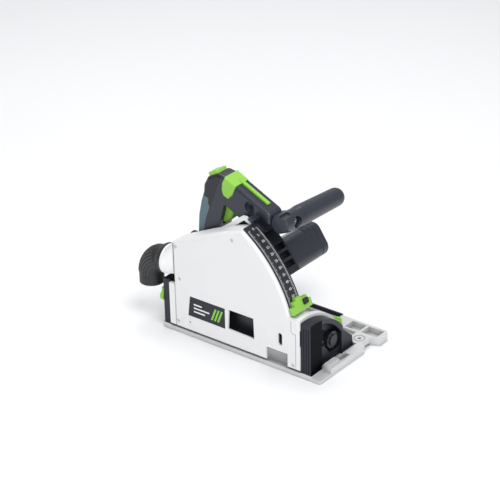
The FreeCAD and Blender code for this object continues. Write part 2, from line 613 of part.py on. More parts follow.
def dust_elbow():
    """Swivelling hose connector: sleeve in the port, collar, quarter bend and plain spigot."""
    side, up, end = size("port_side"), size("port_up"), size("port_end")
    bend, low = size("hose_bend"), size("hose_end")
    back = Vector(-1, 0, 0)
    face = Vector(end - 0.2, side, up)
    bend_start = Vector(end - 3, side, up)
    half_turn = bend * math.sqrt(0.5)
    bend_mid = Vector(bend_start.x - half_turn, side, up - bend + half_turn)
    bend_end = Vector(bend_start.x - bend, side, up - bend)
    curve = Part.Wire(Part.Arc(bend_start, bend_mid, bend_end).toShape())

    def hose(radius, stretch):
        straight = Part.makeCylinder(radius, 2.8 + stretch, face - back * stretch, back)
        disc = Part.Wire(Part.makeCircle(radius, bend_start, back))
        knee = curve.makePipeShell([disc], True, True)
        drop = Part.makeCylinder(radius, bend_end.z - low + min(stretch, 1), bend_end, Vector(0, 0, -1))
        return straight.fuse([knee, drop]).removeSplitter()

    collar = Part.makeCylinder(size("port_radius"), 4.5, face, back)
    shoulder = Part.makeCone(size("port_radius"), size("hose_radius"), 7, face + back * 4.5, back)
    sleeve = Part.makeCylinder(size("port_bore") - 0.05, 7, face - back * 6.8, back)
    body = hose(size("hose_radius"), 0).fuse([collar, shoulder, sleeve]).removeSplitter()
    piece("dust_elbow", solid_feature("dust_elbow", body.cut(hose(size("hose_bore"), 8))))


def radial_box(name, angle, reach, across, thick):
    """Box lying along a ray from the plunge pivot."""
    box = doc.addObject("Part::Box", name)
    box.Length, box.Width, box.Height = reach[1] - reach[0], across[1] - across[0], thick
    turn = Rotation(Vector(0, 1, 0), -angle)
    corner = turn.multVec(Vector(reach[0], across[0], -thick / 2))
    box.Placement = Placement(Vector(size("pivot_long"), 0, size("pivot_up")) + corner, turn)
    return box


def depth_stop():
    """Green slider on the scale band with a stop hump and a press button beside it."""
    inner, outer = "band_front + 4.2", 208
    low, top = size("stop_low"), size("stop_top")

    def block(name, angles, side):
        ring = tube(name + "_ring", "y", PIVOT, side, inner, outer)
        return common(name, ring, wedge(name + "_sector", "XZ", PIVOT, 260, angles, side))

    saddle = block("st_saddle", (low, low + 3), (-14, 27))
    hump = block("st_hump", (low + 2.9, top), (-3, 8))
    seat = block("st_seat", (low + 2.9, low + 4.8), (-8, 20.5))
    middle = low + 3
    room = radial_box("st_button_room", middle, (204, 215), (9.3, 18.7), 7.9)
    piece("depth_stop", cut("depth_stop", fuse("st_body", saddle, hump, seat), room))
    piece("stop_button", radial_box("stop_button", middle, (205.8, 211), (9.5, 18.5), 7.5))


# ---------------------------------------------------------------- plunge unit

def case_profile(name, span):
    """Gear case seen from the side: arm to the pivot, gear bulge, motor seat and arched nose."""
    run = Vector(size("arbor_long") - size("pivot_long"), size("arbor_up") - size("pivot_up"), 0)
    run.normalize()
    across = Vector(-run.y, run.x, 0)
    arm_points = []
    for centre, half, way in ((PIVOT, 10.5, 1), (ARBOR, 19, 1), (ARBOR, 19, -1), (PIVOT, 10.5, -1)):
        arm_points.append((number(centre[0]) + way * half * across.x, number(centre[1]) + way * half * across.y))
    arm = prism(name + "_arm", "XZ", arm_points, span)
    eye = rod(name + "_eye", "y", PIVOT, span, 10.7)
    bulge = rod(name + "_bulge", "y", ARBOR, span, 24)
    seat = rod(name + "_seat", "y", MOTOR, span, "motor_root_radius")
    return fuse(name, arm, eye, bulge, seat)


def nose_block(name, span):
    hull = prism(name + "_hull", "XZ", [
        (-24, 96), (10, 97), (25, 109), (64, 132), (64, 162), (32, 178), (2, 186), (-26, 184), (-44, 150),
        (-58, 138), (-62, 124), (-44, 112)], span)
    arch = rod(name + "_arch", "y", PIVOT, span, 190)
    return common(name, hull, arch)


def gear_housing():
    low = case_profile("ge_low", ("case_right + 1", "case_left - 6"))
    seat = rod("ge_motor_seat", "y", MOTOR, (20, "case_left"), "motor_root_radius")
    nose = nose_block("ge_nose", ("case_right + 1", 46))
    body = fuse("ge_body", low, seat, nose)
    lid_room = fuse("ge_lid_room", rod("ge_lid_arbor", "y", ARBOR, (10, "case_split"), 24.4),
                    rod("ge_lid_motor", "y", MOTOR, (10, "case_split"), 16.2))
    gear_room = rod("ge_gear_room", "y", ARBOR, ("case_split - 1", 33), 21.7)
    pinion_room = rod("ge_pinion_room", "y", MOTOR, ("case_split - 1", 33), 8.6)
    spindle_seat = rod("ge_spindle_seat", "y", ARBOR, (32, 35.5), 9.05)
    motor_seat = rod("ge_bearing_seat", "y", MOTOR, (34, "case_left + 6"), 11.05)
    shaft_way = rod("ge_shaft_way", "y", MOTOR, (30, 36), 5.5)
    fan_room = rod("ge_fan_room", "y", MOTOR, ("case_left", 50), "motor_root_radius")
    pin_bore = rod("ge_pin_bore", "y", PIVOT, (10, 40), 6.05)
    spring_room = rod("ge_spring_room", "y", PIVOT, (10, 20), 11.5)
    vents = []
    for index, angle in enumerate((35.2, 39.2, 43.2)):
        ray = math.radians(angle)
        spot = Vector(number(PIVOT[0]) + 183 * math.cos(ray), 33, number(PIVOT[1]) + 183 * math.sin(ray))
        vent = doc.addObject("Part::Box", f"ge_vent_{index}")
        vent.Length, vent.Width, vent.Height = 12, 20, 9
        turn = Rotation(Vector(0, 1, 0), -angle)
        vent.Placement = Placement(spot + turn.multVec(Vector(0, -10, -4.5)), turn)
        vents.append(vent)
    piece("gear_housing", cut("gear_housing", body, lid_room, gear_room, pinion_room, spindle_seat, motor_seat,
                              shaft_way, fan_room, pin_bore, spring_room, *vents))


def gear_case_cover():
    disc = rod("lid_disc", "y", ARBOR, ("case_right", "case_split"), 24)
    ear = rod("lid_ear", "y", MOTOR, ("case_right + 1", "case_split"), 16)
    hole = rod("lid_hole", "y", ARBOR, (10, 30), 8.6)
    seat = rod("lid_seat", "y", ARBOR, ("case_right + 2.5", 30), 13.05)
    end_way = rod("lid_pinion_room", "y", MOTOR, (19, 30), 8.6)
    piece("gear_case_cover", cut("gear_case_cover", fuse("lid_blank", disc, ear), hole, seat, end_way))


def bearings():
    outboard = tube("spindle_bearing_outer", "y", ARBOR, ("case_right + 2.5", "case_split"), 8.02, 13)
    inboard = tube("spindle_bearing_inner", "y", ARBOR, (33, 35.5), 5.02, 9)
    piece("spindle_bearings", group("spindle_bearings", outboard, inboard))
    front = tube("motor_bearing_front", "y", MOTOR, (36.2, 42.2), 4.02, 11)
    back = tube("motor_bearing_back", "y", MOTOR, (144, 149), 4.02, 9.5)
    piece("motor_bearings", group("motor_bearings", front, back))


def motor_block(name, span, half, corner):
    """Square bar with well rounded corners round the motor axis, one flat tilted upward in front."""
    centre = Vector(size("motor_long"), size("motor_up"), 0)
    turn = math.radians(size("motor_tilt") + 45)
    corners = []
    for index in range(4):
        angle = turn + index * math.pi / 2
        corners.append((centre.x + half * math.sqrt(2) * math.cos(angle), centre.y + half * math.sqrt(2) * math.sin(angle)))
    return rounded(name, prism(name + "_square", "XZ", corners, span), corner, along_side)


def motor_housing():
    end = size("motor_length")
    half, corner = size("motor_half"), size("motor_corner")
    bar = motor_block("mh_bar", (48.2, end), half, corner)
    root = rod("mh_root", "y", MOTOR, ("case_left", 50), "motor_root_radius")
    outer = fuse("mh_outer", bar, root)
    inner = rod("mh_inner", "y", MOTOR, ("case_left - 1", "motor_length + 1"), 23.45)
    core = motor_block("mh_groove_core", (end - 5, end - 3), half - 0.9, corner - 0.9)
    groove = cut("mh_groove", rod("mh_groove_ring", "y", MOTOR, (end - 5, end - 3), 40), core)
    vents = []
    for index in range(4):
        slot_start = 126 + 4 * index
        vents.append(slab(f"mh_vent_{index}", ("motor_long - 12", "motor_long + 12"), (slot_start, slot_start + 1.8),
                          ("motor_up + 10", "motor_up + 40")))
    nose = nose_block("mh_nose", ("case_left", 46))
    piece("motor_housing", cut("motor_housing", outer, inner, nose, groove, *vents))


def motor_end_cap():
    end = size("motor_length")
    block = motor_block("ec_block", (end, end + 11), size("motor_half"), size("motor_corner"))
    cap = rounded("ec_cap", block, 4.5, on_plane("y", end + 11))
    hollow = rod("ec_hollow", "y", MOTOR, ("motor_length - 1", "motor_length + 4"), "motor_half - 5")
    boss = tube("ec_boss", "y", MOTOR, ("motor_length - 7", "motor_length + 4"), 9.55, 12.5)
    slots = [slab(f"ec_slot_{i}", ("motor_long - 13", "motor_long + 13"), ("motor_length + 3", "motor_length + 20"),
                  (f"motor_up + {level}", f"motor_up + {level + 2}")) for i, level in enumerate((-9, -4, 2, 7))]
    piece("motor_end_cap", cut("motor_end_cap", fuse("ec_joined", cut("ec_shell", cap, hollow), boss), *slots))


def motor_core():
    stator = tube("stator_ring", "y", MOTOR, (60, 112), 16, 23.4)
    keys = [slab(f"stator_flat_{i}", ("motor_long - 30", "motor_long + 30"), (59, 113), limits)
            for i, limits in enumerate((("motor_up + 22", "motor_up + 30"), ("motor_up - 30", "motor_up - 22")))]
    piece("stator", cut("stator", stator, *keys))
    shaft = rod("armature_shaft", "y", MOTOR, (21.5, 149.5), 4)
    core = rod("armature_core", "y", MOTOR, (64, 108), 15.4)
    slots = []
    for index in range(12):
        angle = 2 * math.pi * index / 12
        centre = (size("motor_long") + 15 * math.cos(angle), size("motor_up") + 15 * math.sin(angle))
        slots.append(rod(f"armature_slot_{index}", "y", centre, (60, 112), 1.3))
    piece("armature", fuse("armature", shaft, cut("armature_stack", core, *slots)))
    piece("commutator", tube("commutator", "y", MOTOR, (118, 132), 4, 10))
    fan_hub = tube("fan_hub", "y", MOTOR, (47, 56), 4, 8)
    plate = tube("fan_plate", "y", MOTOR, (54.5, 56), 7, 22)
    blades = []
    for index in range(11):
        blade = doc.addObject("Part::Box", f"fan_blade_{index}")
        blade.Length, blade.Width, blade.Height = 13.5, 7, 1.2
        turn = Rotation(Vector(0, 1, 0), 360 * index / 11)
        spot = Vector(size("motor_long"), 48, size("motor_up"))
        blade.Placement = Placement(spot + turn.multVec(Vector(7.8, 0, -0.6)), turn)
        blades.append(blade)
    piece("cooling_fan", fuse("cooling_fan", fan_hub, plate, *blades))
    brushes = [slab(f"brush_{i}", limits, (121, 129), ("motor_up - 3", "motor_up + 3"))
               for i, limits in enumerate((("motor_long + 10.1", "motor_long + 21"), ("motor_long - 21", "motor_long - 10.1")))]
    piece("carbon_brushes", group("carbon_brushes", *brushes))


def gear_wire(teeth, module, centre, turn):
    """Involute spur gear outline in the XZ plane, as a closed polygon of flank points."""
    pitch = teeth * module / 2
    base = pitch * math.cos(math.radians(20))
    tip = pitch + 0.95 * module
    root = pitch - 1.2 * module
    half_tooth = math.pi / (2 * teeth) - 0.03 / pitch
    involute_at = lambda radius: math.sqrt(max((radius / base) ** 2 - 1, 0)) - math.acos(min(base / radius, 1))
    offset = half_tooth + involute_at(pitch)
    flank = [max(base, root) + (tip - max(base, root)) * i / 4 for i in range(5)]
    points = []
    for tooth in range(teeth):
        middle = turn + 2 * math.pi * tooth / teeth
        left = [(radius, middle - offset + involute_at(radius)) for radius in flank]
        right = [(radius, middle + offset - involute_at(radius)) for radius in reversed(flank)]
        points += [(root, middle - offset - 0.004)] + left + right + [(root, middle + offset + 0.004)]
    corners = [Vector(centre[0] + r * math.cos(a), 0, centre[1] + r * math.sin(a)) for r, a in points]
    return Part.makePolygon(corners + corners[:1])


def gear_pair():
    arbor = (number(ARBOR[0]), number(ARBOR[1]))
    motor = (number(MOTOR[0]), number(MOTOR[1]))
    line = math.atan2(motor[1] - arbor[1], motor[0] - arbor[0])
    teeth, mate = int(size("gear_teeth")), int(size("pinion_teeth"))
    module = size("gear_module")
    wheel = Part.Face(gear_wire(teeth, module, arbor, line)).extrude(Vector(0, 8, 0))
    wheel.translate(Vector(0, 23, 0))
    bore = Part.makeCylinder(8, 12, Vector(arbor[0], 21, arbor[1]), Vector(0, 1, 0))
    piece("drive_gear", solid_feature("drive_gear", wheel.cut(bore)))
    pinion = Part.Face(gear_wire(mate, module, motor, line + math.pi + math.pi / mate)).extrude(Vector(0, 10, 0))
    pinion.translate(Vector(0, 22, 0))
    eye = Part.makeCylinder(4, 14, Vector(motor[0], 20, motor[1]), Vector(0, 1, 0))
    piece("pinion", solid_feature("pinion", pinion.cut(eye)))


# ---------------------------------------------------------------- blade drive

def blade_drive():
    shaft = fuse("spindle_blank", rod("spindle_nose", "y", ARBOR, (-0.6, 7), 7.9), rod("spindle_body", "y", ARBOR, (7, 32.5), 8),
                 rod("spindle_tail", "y", ARBOR, (32, 35.3), 5))
    thread = rod("spindle_thread", "y", ARBOR, (-5, 14), 3.5)
    piece("spindle", cut("spindle", shaft, thread))
    inner = turned("inner_flange_blank", [(0.8, 8), (0.8, 10), (0.9, 20), (3, 20), (5, 13), (6.5, 13), (6.5, 8)], "y", ARBOR)
    piece("inner_flange", inner)
    outer = turned("outer_flange_blank", [(-0.8, 3.6), (-0.8, 17), (-2.4, 17), (-4.5, 11), (-4.5, 3.6)], "y", ARBOR)
    piece("outer_flange", outer)
    head = rod("arbor_head", "y", ARBOR, (-9.2, -4.5), 7.2)
    stem = rod("arbor_stem", "y", ARBOR, (-4.6, 12), 3.48)
    socket = prism("arbor_socket", "XZ", hexagon(ARBOR, 2.9), (-10, -6.2))
    piece("arbor_screw", cut("arbor_screw", fuse("arbor_screw_blank", head, stem), socket))
    saw_blade()


def hexagon(centre, radius):
    spots = []
    for index in range(6):
        angle = math.pi * index / 3
        spots.append((number(centre[0]) + radius * math.cos(angle), number(centre[1]) + radius * math.sin(angle)))
    return spots


def saw_blade():
    """Blade plate with a radial gullet and a hooked tooth for every pitch, and slim expansion slots."""
    centre = Vector(size("arbor_long"), 0, size("arbor_up"))
    teeth = int(size("tooth_count"))
    tip, gullet = size("blade_radius"), size("blade_radius") - 7
    pitch = 2 * math.pi / teeth
    corners = []
    for index in range(teeth):
        start = -index * pitch
        for share, radius in ((0.0, tip), (0.16, tip - 0.6), (0.62, gullet + 2.2), (0.78, gullet), (0.95, gullet + 1.4)):
            angle = start - share * pitch
            corners.append(centre + Vector(radius * math.cos(angle), 0, radius * math.sin(angle)))
    face = Part.Face(Part.makePolygon(corners + corners[:1]))
    half = size("blade_plate")
    plate = face.extrude(Vector(0, 2 * half, 0))
    plate.translate(Vector(0, -half, 0))
    cuts = [Part.makeCylinder(10, 4, centre - Vector(0, 2, 0), Vector(0, 1, 0))]
    for index in range(4):
        angle = math.pi / 4 + index * math.pi / 2
        turn = Rotation(Vector(0, 1, 0), math.degrees(-angle))
        slit = Part.makeBox(11, 4, 0.8, Vector(62, -2, -0.4))
        slit = slit.fuse(Part.makeCylinder(1.6, 4, Vector(62, -2, 0), Vector(0, 1, 0)))
        slit.Placement = Placement(centre, turn)
        cuts.append(slit)
    piece("saw_blade", solid_feature("saw_blade", plate.cut(cuts)))


# ---------------------------------------------------------------- handle

LOCK_EDGE = ((-80, 239), (-62, 248.2))


def handle_solid(name):
    """Closed D handle with a sloping top beam, rounded along both flanks."""
    span = ("handle_right", "handle_left")
    outer = prism(name + "_outer", "XZ", [
        (-101, 126), (-100, 152), (-98, 178), (-93, 200), (-88, 215), (-87, 226), LOCK_EDGE[0], LOCK_EDGE[1],
        (-46, 246.2), (-29, 238), (24, 213),
        (28, 209), (28, 189), (10, 176), (-24, 160), (-46, 128), (-60, 116), (-94, 114)], span)
    soft = rounded(name + "_soft", outer, 7, lambda edge: along_side(edge) and edge.BoundBox.ZMin > 150)
    flanks = rounded(name + "_flanks", soft, 5, lambda edge: edge.BoundBox.YLength < 0.01)
    loop = prism(name + "_loop", "XZ", [
        (-51, 206.5), (-56, 186), (-67, 150), (-62, 134), (-54, 134), (-42, 150), (-26, 184), (-21.5, 191.5)], span)
    hole = rounded(name + "_hole", loop, 3, along_side)
    return cut(name, flanks, hole)


def handle():
    whole = handle_solid("hd_whole")
    case_room = fuse("hd_case_room", nose_block("hd_case_nose", ("case_right", 60)), case_profile("hd_case", (10, 60)))
    stop_way = stop_travel("hd")
    aux_bore = rod("hd_aux_bore", "x", ("aux_screw_side", "aux_up - 2"), (11.9, 32), 2.55)
    grip = prism("hd_grip_zone", "XZ", [
        (-106, 140), (-105, 176), (-95, 212.2), (-92.2, 211.5), (-78.6, 207.5), (-79.3, 199.8), (-77, 194.5),
        (-82.5, 180), (-87, 164), (-89.5, 140)], (10, 60))
    cap = prism("hd_cap_zone", "XZ", [
        (-92, 211.8), (-94, 228), (-84, 246), (-68, 254), (-53, 254), (-56.5, 240), (-64.5, 222), (-72, 200),
        (-74.5, 193), (-79, 200), (-78.3, 207.7)], (10, 60))
    piece("grip_overmould", common("grip_overmould", whole, grip))
    button_way = lock_button_block("hd_button_way", 0.25, 7)
    trigger_way = prism("hd_trigger_way", "XZ", [(-70, 207.5), (-52, 207.5), (-40, 196), (-40, 171), (-74, 169.5),
                                                 (-76, 190), (-73, 204)], (25.8, 40.2))
    trigger_bore = rod("hd_trigger_bore", "y", trigger_pivot(), (23.9, 42.1), 2.05)
    switch_way = prism("hd_switch_way", "XZ", box_points(switch_box(), 0.15), (26.3, 39.7))
    board_way = prism("hd_board_way", "XZ", box_points(board_box(), 0.15), (33, 43.2))
    inlet_way = rod("hd_inlet_way", "x", (34, 128), (-110, -88), 10.1)
    screw_ways = []
    for index, (spot, head, shank) in enumerate(handle_screw_rows()):
        screw_ways.append(rod(f"hd_screw_{index}", "y", spot, (min(shank) - 0.1, max(shank) + 0.1), 2.05))
        room = (10, head[1]) if head[1] < shank[1] else (head[0], 60)
        screw_ways.append(rod(f"hd_screw_seat_{index}", "y", spot, room, 4.6))
    screw_ways.append(rod("hd_front_recess", "y", handle_screw_rows()[0][0], (10, 22), 8.5))
    dial_way = rod("hd_dial_way", "y", dial_spot(), (44.8, 60), 9.2)
    cap_body = cut("hd_cap_cut", common("hd_cap_part", whole, cap), button_way, trigger_way, switch_way)
    piece("handle_rear_cap", cap_body)
    shell = cut("hd_shell", whole, case_room, stop_way, aux_bore, grip, cap, button_way, trigger_way, trigger_bore,
                switch_way, board_way, inlet_way, dial_way, *full_depth_relief("hd"), *screw_ways)
    right_zone = slab("hd_right_zone", (-200, 100), (0, "handle_middle"), (0, 300))
    left_zone = slab("hd_left_zone", (-200, 100), ("handle_middle", 100), (0, 300))
    finger = radial_box("hd_stop_finger", stop_reach() + 1.2, (202.5, 207.5), (5, 18.5), 8)
    half = common("hd_right_half", shell, right_zone)
    piece("handle_shell_right", fuse("handle_shell_right", half, finger))
    piece("handle_shell_left", common("handle_shell_left", shell, left_zone))


def switch_box():
    return (-85, -71, 153, 169)


def board_box():
    return (-24, 4, 199, 209)


def box_points(limits, gap):
    rear, front, low, high = limits
    return [(rear - gap, low - gap), (front + gap, low - gap), (front + gap, high + gap), (rear - gap, high + gap)]


def handle_screw_rows():
    """Handle screws: centre, head span and shank span; the first goes in from the right, the others from the left."""
    return [((-6.2, 213.3), (23, 26), (25.9, 44)), ((-36, 211), (40, 43), (22, 40.1)), ((-79, 144), (40, 43), (22, 40.1))]


def stop_travel(name):
    """Curved way the depth stop needs beside the handle as it slides up the scale."""
    ring = tube(name + "_stop_ring", "y", PIVOT, (10, 28.5), 197, 213)
    return common(name + "_stop_way", ring, wedge(name + "_stop_sector", "XZ", PIVOT, 300, (40, stop_reach()), (10, 28.5)))


def stop_reach():
    """Highest angle the depth stop's hump reaches on the scale band."""
    return size("stop_top") + size("plunge_range") + 0.1


def trigger_pivot():
    return (-59, 204)


def full_depth_relief(name):
    """Room for the front bracket and flange when the plunge unit is fully down, turned back to the rest pose."""
    lift = Rotation(Vector(0, 1, 0), -size("plunge_range"))
    pivot = Vector(size("pivot_long"), 0, size("pivot_up"))
    spaces = []
    for part, span, radius in (("flange", (94, 102.5), size("flange_radius") + 0.8),
                               ("bracket", (101.5, 122), size("bracket_radius") + 0.8)):
        space = doc.addObject("Part::Cylinder", f"{name}_{part}_space")
        space.Radius, space.Height = radius, span[1] - span[0]
        start = Vector(span[0], size("bevel_side"), 0)
        space.Placement = Placement(pivot + lift.multVec(start - pivot), lift * TURN_TO["x"])
        spaces.append(space)
    return spaces


def dial_spot():
    return (-76, 127)


def handle_inserts():
    piece("switch_module", prism("switch_module", "XZ", box_points(switch_box(), 0), (26.5, 39.5)))
    piece("electronics_module", prism("electronics_module", "XZ", box_points(board_box(), 0), (33.2, 43)))
    screws = []
    for index, (spot, head_span, shank_span) in enumerate(handle_screw_rows()):
        head = rod(f"hs_head_{index}", "y", spot, head_span, 4.4)
        shank = rod(f"hs_shank_{index}", "y", spot, shank_span, 2)
        from_right = head_span[1] < shank_span[1]
        socket_span = (head_span[0] - 1, head_span[0] + 1.6) if from_right else (head_span[1] - 1.6, head_span[1] + 1)
        socket = prism(f"hs_socket_{index}", "XZ", hexagon(spot, 1.9), socket_span)
        screws.append(cut(f"hs_{index}", fuse(f"hs_blank_{index}", head, shank), socket))
    piece("handle_screws", group("handle_screws", *screws))
    knurl = [slab(f"dial_nick_{i}", (number(dial_spot()[0]) - 0.6, number(dial_spot()[0]) + 0.6), (48.4, 52),
                  (dial_spot()[1] - 8 + 5 * i, dial_spot()[1] - 6 + 5 * i)) for i in range(3)]
    dial = rod("dial_blank", "y", dial_spot(), (45, 49.5), 9)
    piece("speed_dial", cut("speed_dial", dial, *knurl))
    body = fuse("inlet_body", rod("inlet_barrel", "x", (34, 128), (-122, -101.5), 11),
                rod("inlet_root", "x", (34, 128), (-101.6, -88.5), 10))
    hollow = rod("inlet_hollow", "x", (34, 128), (-123, -106), 8.6)
    core = rod("inlet_core", "x", (34, 128), (-118, -105), 4.5)
    piece("power_inlet", fuse("power_inlet", cut("inlet_shell", body, hollow), core))


def lock_button_block(name, gap, depth):
    """Rectangular button standing square on the sloping rear top of the handle."""
    block = doc.addObject("Part::Box", name)
    (rear, low), (front, high) = LOCK_EDGE
    slope = math.degrees(math.atan2(high - low, front - rear))
    block.Length = 17 + 2 * gap
    block.Width = 20 + 2 * gap
    block.Height = 12 if gap else 7.5
    turn = Rotation(Vector(0, 1, 0), -slope)
    middle = Vector((rear + front) / 2, size("handle_middle"), (low + high) / 2)
    block.Placement = Placement(middle + turn.multVec(Vector(-8.5 - gap, -10 - gap, -depth)), turn)
    return block


def handle_controls():
    piece("lock_button", rounded("lock_button", lock_button_block("lock_blank", 0, 2.6), 1.6,
                                 lambda edge: edge.CenterOfMass.z > 245))
    blade = prism("trigger_blank", "XZ", [(-68, 202), (-53, 203), (-41.5, 192), (-44, 182.5), (-54, 173.2), (-65, 173.8),
                                          (-68, 182)], (26.5, 39.5))
    soft = rounded("trigger_soft", blade, 2.5, lambda edge: edge.BoundBox.XMin > -66 and (
        on_plane("y", 26.5)(edge) or on_plane("y", 39.5)(edge)) and edge.BoundBox.ZMax < 200)
    pin = rod("trigger_pin", "y", trigger_pivot(), (24, 42), 2)
    piece("trigger", fuse("trigger", soft, pin))
    change_lever()


def change_lever():
    """Long lever on the beam: a pad wrapped over the edge, a slim arm and a pivot at the front."""
    pad = prism("cl_pad", "XZ", [(-54, 226.5), (-53, 238), (-47.5, 248.2), (-28.5, 239.4), (-35.4, 223.4),
                                 (-42.9, 216), (-51, 219)], (16, 45))
    soft = rounded("cl_pad_soft", pad, 3, lambda edge: on_plane("y", 16)(edge))
    rise = (213 - 238) / (24 + 29)
    along = lambda x, lift: (x, 238 + rise * (x + 29) + lift)
    arm = prism("cl_arm", "XZ", [along(-33, 0.05), along(13.4, 0.05), along(14.2, 2.8), along(-33, 2.8)], (31, 36.5))
    front_end = rod("cl_front_end", "y", along(14, 1.44), (31, 36.5), 1.2)
    body = fuse("cl_body", soft, arm, front_end)
    piece("change_lever", cut("change_lever", body, handle_solid("cl_handle")))


def aux_handle():
    """Front handle: a drooping bar across the saw with a domed tip and a stout block at its root."""
    radius = size("aux_radius")
    tip = size("aux_tip")
    root = size("handle_right")
    profile = [(root, 0), (root, radius - 1.5), (root + 1.5, radius), (52, radius), (62, radius + 1),
               (tip - 13, radius - 0.4)]
    dome = radius - 0.4
    for index in range(1, 7):
        angle = math.pi / 2 * index / 6
        profile.append((tip - 13 + 13 * math.sin(angle), dome * math.cos(angle) if index < 6 else 0))
    bar = turned("ah_bar", profile, "y", ("aux_long", "aux_up"))
    bar.Placement = Placement(bar.Placement.Base, Rotation(Vector(1, 0, 0), -size("aux_droop")))
    block = prism("ah_block", "XZ", [(28, 189.5), (28, 208), (44, 213), (50, 207), (46, 189), (36, 184)], (24, 46.5))
    block = rounded("ah_block_soft", block, 3, lambda edge: along_side(edge) and edge.BoundBox.XMin > 30)
    spot = ("aux_screw_side", "aux_up - 2")
    recess = rod("ah_recess", "x", spot, (48, 70), 8.5)
    bore = rod("ah_bore", "x", spot, (20, 70), 2.55)
    groove = slab("ah_groove", ("aux_long - 1", "aux_long + 9"), (16, "aux_screw_side - 6"), ("aux_up + 9.5", "aux_up + 14.5"))
    body = cut("ah_body", fuse("ah_blank", bar, block), recess, bore, groove, stop_travel("ah"), *full_depth_relief("ah"))
    piece("aux_handle", body)
    cap = rod("ah_screw_cap", "x", spot, (48, 51.5), 4.6)
    shank = rod("ah_screw_shank", "x", spot, (12, 48.1), 2.5)
    socket = prism("ah_screw_socket", "YZ", hexagon(spot, 2.2), (50, 53))
    piece("aux_handle_screw", cut("aux_handle_screw", fuse("ah_screw_blank", cap, shank), socket))


# ---------------------------------------------------------------- build, check and write

base_plate()
bracket_screws()
side_strip()
guide_knob("front_guide_knob", "guide_knob_front")
guide_knob("rear_guide_knob", "guide_knob_rear")
front_bevel_bracket()
rear_bevel_bracket()
undercut_lever()
guard_housing()
guard_cover()
label_plate()
cover_screws()
depth_scale()
pivot_pin()
return_spring()
bevel_bolts()
bevel_knob("front_bevel_knob", (106.1, 112), (111, 114))
bevel_knob("rear_bevel_knob", (-136.8, -131), (-138.8, -136))
dust_elbow()
depth_stop()
gear_housing()
gear_case_cover()
bearings()
motor_housing()
motor_end_cap()
motor_core()
gear_pair()
blade_drive()
handle()
handle_inserts()
handle_controls()
aux_handle()

doc.recompute()
for item in doc.Objects:
    if "Invalid" in item.State or "Error" in item.State:
        raise RuntimeError(f"{item.Name} failed: {item.State}")
for node, item in PIECES.items():
    if item.Shape.isNull() or not item.Shape.isValid() or not item.Shape.Solids:
        raise RuntimeError(f"{node} has no valid solid")
os.makedirs("parts", exist_ok=True)
for node, item in PIECES.items():
    item.Shape.exportStep(f"parts/{node}.step")
print(len(PIECES), "sub-parts written")
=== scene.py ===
import json
import math

import bmesh
import bpy
from mathutils import Matrix, Vector


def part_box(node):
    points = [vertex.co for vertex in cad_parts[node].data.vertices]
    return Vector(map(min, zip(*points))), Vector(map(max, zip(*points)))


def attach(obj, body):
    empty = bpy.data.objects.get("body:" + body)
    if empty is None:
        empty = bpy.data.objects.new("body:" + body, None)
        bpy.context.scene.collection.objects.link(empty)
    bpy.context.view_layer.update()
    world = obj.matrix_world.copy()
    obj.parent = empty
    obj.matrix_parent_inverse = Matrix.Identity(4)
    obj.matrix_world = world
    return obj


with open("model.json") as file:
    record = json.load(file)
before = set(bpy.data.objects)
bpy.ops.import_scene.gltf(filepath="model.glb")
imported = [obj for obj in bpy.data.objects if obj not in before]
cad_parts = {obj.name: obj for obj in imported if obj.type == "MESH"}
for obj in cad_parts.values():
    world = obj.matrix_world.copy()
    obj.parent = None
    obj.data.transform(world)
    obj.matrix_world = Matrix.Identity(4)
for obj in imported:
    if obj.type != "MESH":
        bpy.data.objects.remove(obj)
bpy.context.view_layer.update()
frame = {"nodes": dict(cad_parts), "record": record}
JOINTS = {joint["name"]: joint for joint in frame["record"]["behaviour"]["joints"]}
MOUNTS = {mount["name"]: mount for mount in frame["record"]["mounts"]}
MM = 0.001
PAINTED_CORNER_SHADE = (0.10, 0.10, 0.11)     # painted shade in the corners of pale castings
PAINTED_GUARD_SHADE = (0.012, 0.013, 0.016)  # painted shade inside the guard and on the flange face behind the bracket's slot
PAINTED_RECESS_SHADE = (0.002, 0.002, 0.004)  # painted shade: deep black on the upright front skin of the front bracket


# ---------------------------------------------------------------- material helpers

def new_material(name):
    material = bpy.data.materials.new(name)
    material.use_nodes = True
    tree = material.node_tree
    return material, tree, tree.nodes["Principled BSDF"]


def coordinates(tree, scale=(1, 1, 1)):
    """Object coordinates in metres, stretched per axis."""
    source = tree.nodes.new("ShaderNodeTexCoord")
    mapping = tree.nodes.new("ShaderNodeMapping")
    mapping.inputs["Scale"].default_value = scale
    tree.links.new(source.outputs["Object"], mapping.inputs["Vector"])
    return mapping.outputs["Vector"]


def noise(tree, vector, scale, detail=2):
    texture = tree.nodes.new("ShaderNodeTexNoise")
    texture.inputs["Scale"].default_value = scale
    texture.inputs["Detail"].default_value = detail
    tree.links.new(vector, texture.inputs["Vector"])
    return texture.outputs["Fac"]


def remap(tree, value, low, high, start=0.3, end=0.7):
    node = tree.nodes.new("ShaderNodeMapRange")
    node.inputs["From Min"].default_value = start
    node.inputs["From Max"].default_value = end
    node.inputs["To Min"].default_value = low
    node.inputs["To Max"].default_value = high
    tree.links.new(value, node.inputs["Value"])
    return node.outputs["Result"]


def mix(tree, factor, first, second):
    """Blend of two colours; each is an RGB triple or an output socket."""
    node = tree.nodes.new("ShaderNodeMix")
    node.data_type = "RGBA"
    for name, colour in (("A", first), ("B", second)):
        if isinstance(colour, tuple):
            node.inputs[name].default_value = (*colour, 1)
        else:
            tree.links.new(colour, node.inputs[name])
    tree.links.new(factor, node.inputs["Factor"])
    return node.outputs["Result"]


def math_node(tree, kind, first, second=0):
    node = tree.nodes.new("ShaderNodeMath")
    node.operation = kind
    for index, value in enumerate((first, second)):
        if isinstance(value, (int, float)):
            node.inputs[index].default_value = value
        else:
            tree.links.new(value, node.inputs[index])
    return node.outputs["Value"]


